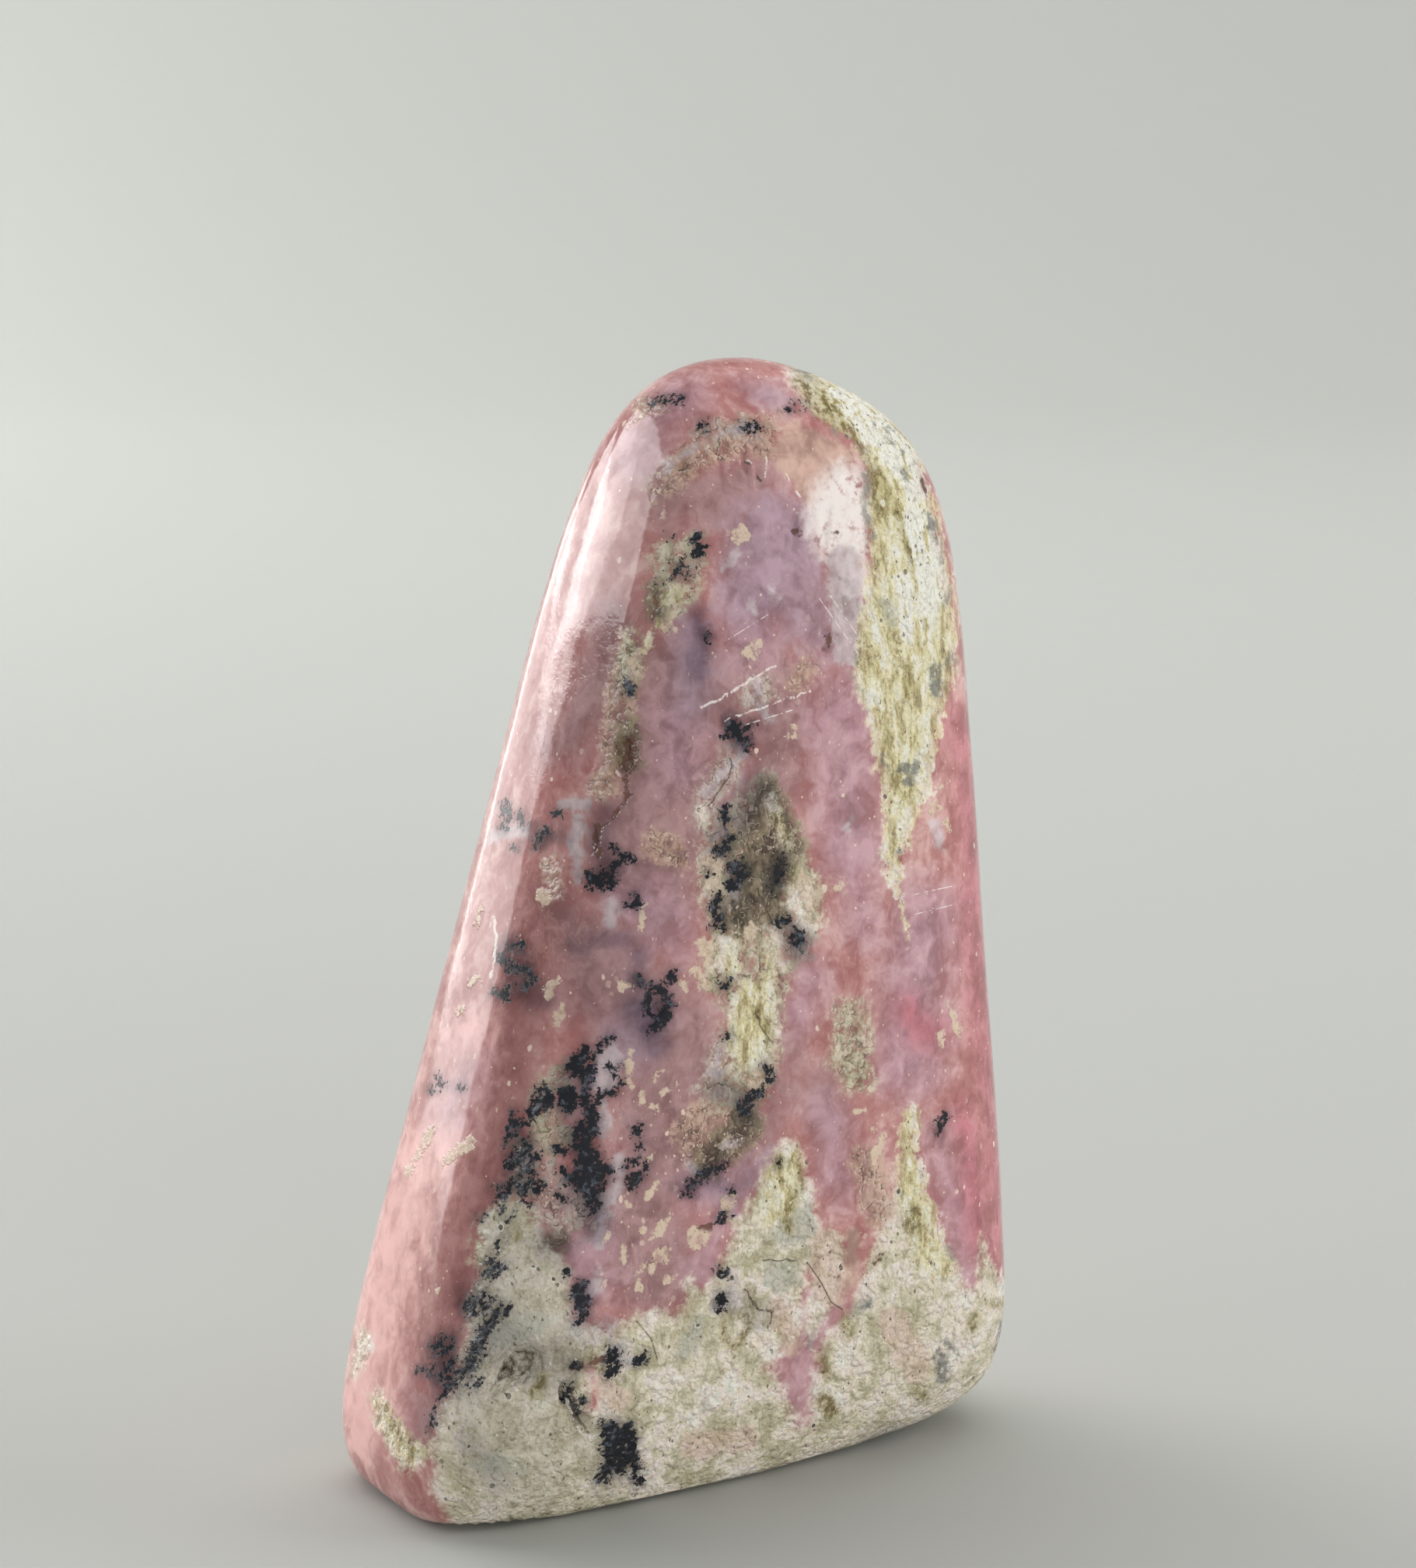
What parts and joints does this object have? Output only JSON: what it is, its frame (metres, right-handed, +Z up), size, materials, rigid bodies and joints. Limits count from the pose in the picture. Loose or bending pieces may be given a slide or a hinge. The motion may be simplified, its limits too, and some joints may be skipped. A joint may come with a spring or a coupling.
{
  "type": "polished pink opal freeform",
  "caption": "Polished pink opal freeform, a flat-sided pebble wedge that stands upright on its cut base.",
  "frame": {"origin": "under the middle of the stone's box, on the surface that it stands on", "axes": "+Z up along the stone's height, +Y through its thin direction from the front face to the back face, +X along its width"},
  "size_m": [0.0591, 0.0286, 0.0949],
  "materials": {
    "opal": "polished to a waxy gloss, pink opal with cream and olive matrix, black dendrites and small open pits"
  },
  "bodies": {
    "root": {"stone": "opal"}
  },
  "joints": []
}
